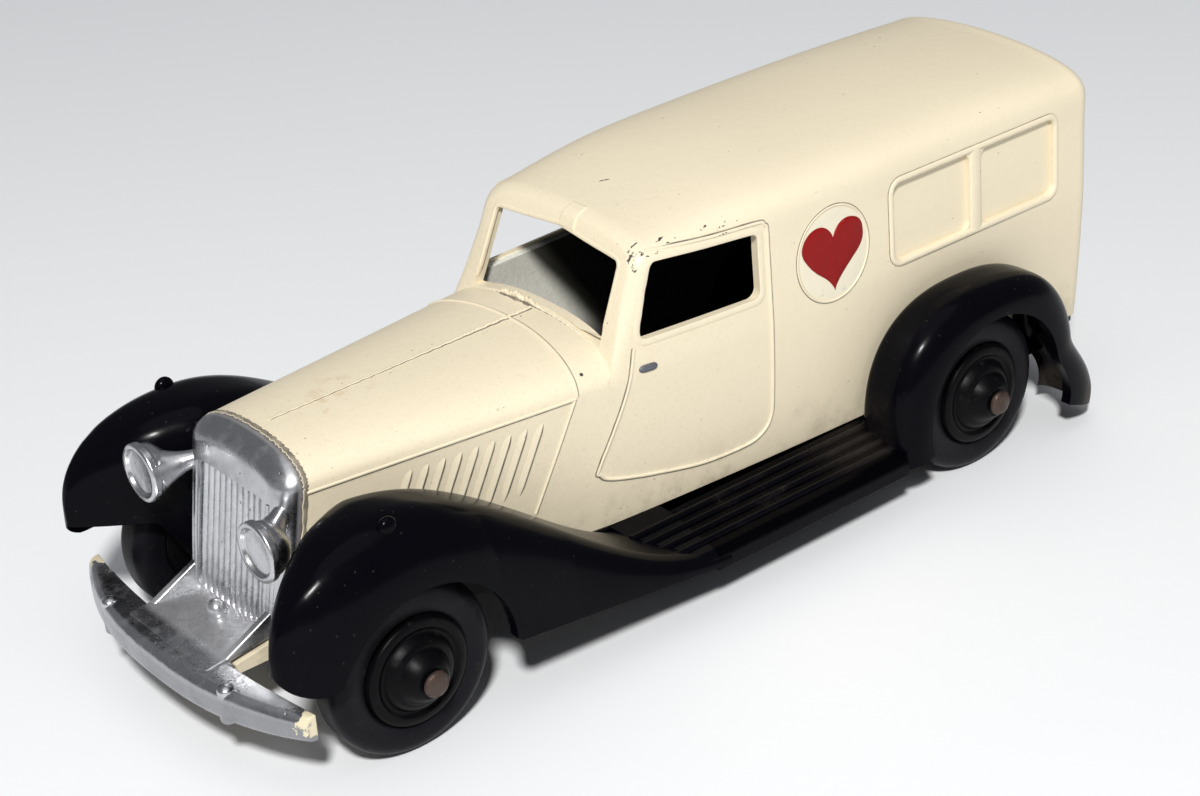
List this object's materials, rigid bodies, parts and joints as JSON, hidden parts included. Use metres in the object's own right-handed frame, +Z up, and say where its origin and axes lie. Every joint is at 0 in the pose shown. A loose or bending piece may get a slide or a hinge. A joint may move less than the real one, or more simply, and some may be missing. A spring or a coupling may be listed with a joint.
{
  "type": "toy ambulance",
  "caption": "Die-cast toy ambulance, 1930s style: hollow cream body on a black winged chassis, bright radiator and bumper casting, rolling wheels on headed axles",
  "frame": {"origin": "On the ground, under the middle of the toy's bounding box", "axes": "+X points forward along the toy, +Y to its left, +Z up"},
  "size_m": [0.1033, 0.0412, 0.036],
  "materials": {
    "cream_paint": "satin",
    "black_paint": "gloss",
    "bright_metal": "satin",
    "axle_steel": "worn",
    "tyre_rubber": "satin"
  },
  "bodies": {
    "car": {"body_casting": "cream_paint", "chassis_casting": "black_paint", "radiator_casting": "bright_metal"},
    "front_axle_body": {"front_axle": "axle_steel"},
    "rear_axle_body": {"rear_axle": "axle_steel"},
    "front_left_wheel": {"front_left_hub": "black_paint", "front_left_tyre": "tyre_rubber"},
    "front_right_wheel": {"front_right_hub": "black_paint", "front_right_tyre": "tyre_rubber"},
    "rear_left_wheel": {"rear_left_hub": "black_paint", "rear_left_tyre": "tyre_rubber"},
    "rear_right_wheel": {"rear_right_hub": "black_paint", "rear_right_tyre": "tyre_rubber"}
  },
  "joints": [
    {"name": "front_axle_turn", "type": "hinge", "parent": "car", "child": "front_axle_body", "pos_m": [0.0367, 0, 0.00805], "axis": [0, 1, 0], "continuous": true},
    {"name": "rear_axle_turn", "type": "hinge", "parent": "car", "child": "rear_axle_body", "pos_m": [-0.0307, 0, 0.00805], "axis": [0, 1, 0], "continuous": true},
    {"name": "front_left_wheel_turn", "type": "hinge", "parent": "front_axle_body", "child": "front_left_wheel", "pos_m": [0.0367, 0.015, 0.00805], "axis": [0, 1, 0], "continuous": true},
    {"name": "front_right_wheel_turn", "type": "hinge", "parent": "front_axle_body", "child": "front_right_wheel", "pos_m": [0.0367, -0.015, 0.00805], "axis": [0, 1, 0], "continuous": true},
    {"name": "rear_left_wheel_turn", "type": "hinge", "parent": "rear_axle_body", "child": "rear_left_wheel", "pos_m": [-0.0307, 0.015, 0.00805], "axis": [0, 1, 0], "continuous": true},
    {"name": "rear_right_wheel_turn", "type": "hinge", "parent": "rear_axle_body", "child": "rear_right_wheel", "pos_m": [-0.0307, -0.015, 0.00805], "axis": [0, 1, 0], "continuous": true}
  ]
}
